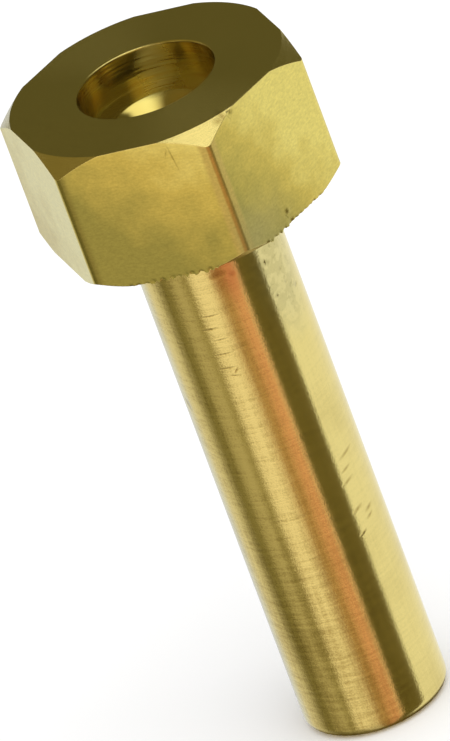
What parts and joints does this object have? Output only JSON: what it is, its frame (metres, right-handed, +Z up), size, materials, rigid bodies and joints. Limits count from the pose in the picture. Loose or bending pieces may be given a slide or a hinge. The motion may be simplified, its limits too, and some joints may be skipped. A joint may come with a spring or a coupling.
{
  "type": "insert nut",
  "caption": "One-piece turned brass insert nut: a hexagonal head with a counterbored and countersunk through hole, on a long plain shank.",
  "frame": {"origin": "centre of the shank's end face, on the axis, where the part stands", "axes": "+Z runs up the axis from the shank's end to the head's top face; +X points at a corner of the hexagon and +Y at a flat"},
  "size_m": [0.0328, 0.0286, 0.0763],
  "materials": {
    "brass": "as machined, unpolished: turned shank and top, drawn flats"
  },
  "bodies": {
    "root": {"insert_nut": "brass"}
  },
  "joints": []
}
